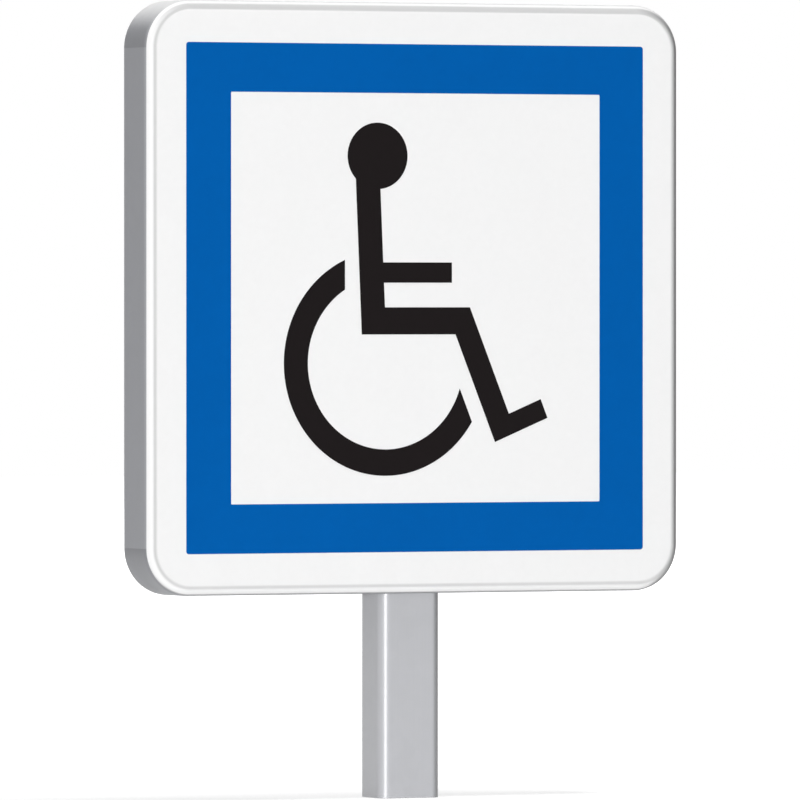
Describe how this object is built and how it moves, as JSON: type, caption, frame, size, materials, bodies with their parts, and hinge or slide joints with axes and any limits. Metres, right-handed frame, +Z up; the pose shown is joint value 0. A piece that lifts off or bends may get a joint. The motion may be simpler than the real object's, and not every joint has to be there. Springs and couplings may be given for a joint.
{
  "type": "disabled access sign",
  "caption": "Square tray-shaped road sign with a blue border and a black wheelchair symbol, clamped on rails to a short rectangular post that runs up inside its open back.",
  "frame": {"origin": "middle of the post's lower end", "axes": "+Z up along the post, -Y out of the sign's face, +X to the right as seen from the front"},
  "size_m": [0.5, 0.0581, 0.6735],
  "materials": {
    "grey_paint": "satin grey coating",
    "white_sheeting": "smooth white sheeting",
    "blue_film": "smooth blue film",
    "black_film": "smooth black film",
    "bare_aluminium": "as extruded",
    "post_metal": "satin light grey zinc",
    "zinc_steel": "zinc plated",
    "black_plastic": "fine moulded grain"
  },
  "bodies": {
    "root": {"panel_tray": "grey_paint", "white_sheeting": "white_sheeting", "blue_border": "blue_film", "figure_symbol": "black_film", "wheel_symbol": "black_film", "upper_rail": "bare_aluminium", "lower_rail": "bare_aluminium", "post": "post_metal", "post_cap": "black_plastic", "upper_clamp": "zinc_steel", "lower_clamp": "zinc_steel", "upper_left_bolt": "zinc_steel", "upper_right_bolt": "zinc_steel", "lower_left_bolt": "zinc_steel", "lower_right_bolt": "zinc_steel", "upper_left_washer": "zinc_steel", "upper_right_washer": "zinc_steel", "lower_left_washer": "zinc_steel", "lower_right_washer": "zinc_steel", "upper_left_nut": "zinc_steel", "upper_right_nut": "zinc_steel", "lower_left_nut": "zinc_steel", "lower_right_nut": "zinc_steel"}
  },
  "joints": []
}
